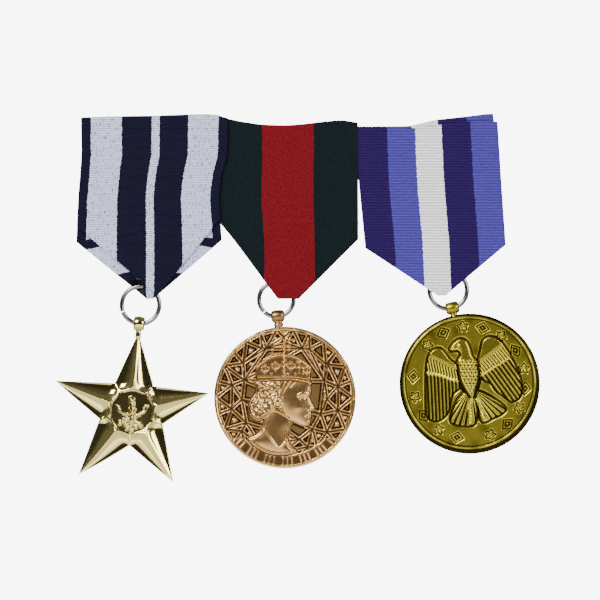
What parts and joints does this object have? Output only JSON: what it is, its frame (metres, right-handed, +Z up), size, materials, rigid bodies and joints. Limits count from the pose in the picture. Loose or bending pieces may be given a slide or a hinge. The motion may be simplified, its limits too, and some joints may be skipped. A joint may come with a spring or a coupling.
{
  "type": "set of costume medals on ribbons",
  "caption": "Costume medals on pointed striped ribbons joined in a row: a ridged star, a crowned bust medal and an eagle medal hang from wire rings, with bar pins behind.",
  "frame": {"origin": "middle of the backing strip's rear face, level with the two bar pins, where the set meets the garment", "axes": "+Z up as worn, +X to the viewer's right along the row, +Y back into the garment, so the front faces -Y"},
  "size_m": [0.1291, 0.0075, 0.0981],
  "materials": {
    "backing_felt": "matt black felt",
    "left_ribbon": "navy and white woven stripes, ribbed",
    "middle_ribbon": "dark green with a red centre, fine twill",
    "right_ribbon": "navy, blue and white woven stripes, ribbed",
    "thread": "polyester sewing thread",
    "ring_steel": "polished nickel-plated steel wire",
    "star_gold": "mirror-bright pale gold plating",
    "portrait_bronze": "satin antique rose bronze with dark recesses",
    "eagle_brass": "satin antique olive brass with dark recesses",
    "pin_steel": "nickel-plated stamped steel",
    "needle_steel": "drawn steel wire"
  },
  "bodies": {
    "ribbon_bar": {"backing_strip": "backing_felt", "left_ribbon": "left_ribbon", "middle_ribbon": "middle_ribbon", "right_ribbon": "right_ribbon", "left_seam": "thread", "middle_seam": "thread", "right_seam": "thread", "left_point_stitches": "thread", "middle_point_stitches": "thread", "right_point_stitches": "thread", "left_pin_base": "pin_steel", "left_pin_rivet": "pin_steel", "left_pin_threads": "thread", "right_pin_base": "pin_steel", "right_pin_rivet": "pin_steel", "right_pin_threads": "thread"},
    "left_ring": {"left_ring": "ring_steel"},
    "middle_ring": {"middle_ring": "ring_steel"},
    "right_ring": {"right_ring": "ring_steel"},
    "star_medal": {"star_medal": "star_gold"},
    "portrait_medal": {"portrait_medal": "portrait_bronze"},
    "eagle_medal": {"eagle_medal": "eagle_brass"},
    "left_needle": {"left_pin_needle": "needle_steel"},
    "left_lock": {"left_pin_lock": "pin_steel"},
    "right_needle": {"right_pin_needle": "needle_steel"},
    "right_lock": {"right_pin_lock": "pin_steel"}
  },
  "joints": [
    {"name": "left_ring_swing", "type": "hinge", "parent": "ribbon_bar", "child": "left_ring", "pos_m": [-0.03966, -0.00035, -0.03583], "axis": [1, 0, 0], "range_deg": [0, 70]},
    {"name": "middle_ring_swing", "type": "hinge", "parent": "ribbon_bar", "child": "middle_ring", "pos_m": [-0.00316, -0.00035, -0.03473], "axis": [1, 0, 0], "range_deg": [0, 70]},
    {"name": "right_ring_swing", "type": "hinge", "parent": "ribbon_bar", "child": "right_ring", "pos_m": [0.04305, -0.00035, -0.03183], "axis": [1, 0, 0], "range_deg": [0, 70]},
    {"name": "star_swing", "type": "hinge", "parent": "left_ring", "child": "star_medal", "pos_m": [-0.04006, -0.00035, -0.04578], "axis": [0.9968, 0, -0.0802], "range_deg": [-70, 70]},
    {"name": "portrait_swing", "type": "hinge", "parent": "middle_ring", "child": "portrait_medal", "pos_m": [-0.00277, -0.00035, -0.04381], "axis": [0.9962, 0, 0.0872], "range_deg": [-70, 70]},
    {"name": "eagle_swing", "type": "hinge", "parent": "right_ring", "child": "eagle_medal", "pos_m": [0.04414, -0.00035, -0.04162], "axis": [0.9748, 0, 0.2233], "range_deg": [-70, 70]},
    {"name": "left_needle_swing", "type": "hinge", "parent": "ribbon_bar", "child": "left_needle", "pos_m": [-0.0505, 0.0036, 0], "axis": [0, 0, 1], "range_deg": [0, 90]},
    {"name": "left_lock_turn", "type": "hinge", "parent": "ribbon_bar", "child": "left_lock", "pos_m": [-0.0223, 0.0036, 0], "axis": [-1, 0, 0], "range_deg": [0, 90]},
    {"name": "right_needle_swing", "type": "hinge", "parent": "ribbon_bar", "child": "right_needle", "pos_m": [0.0234, 0.0036, 0], "axis": [0, 0, 1], "range_deg": [0, 90]},
    {"name": "right_lock_turn", "type": "hinge", "parent": "ribbon_bar", "child": "right_lock", "pos_m": [0.0516, 0.0036, 0], "axis": [-1, 0, 0], "range_deg": [0, 90]}
  ]
}
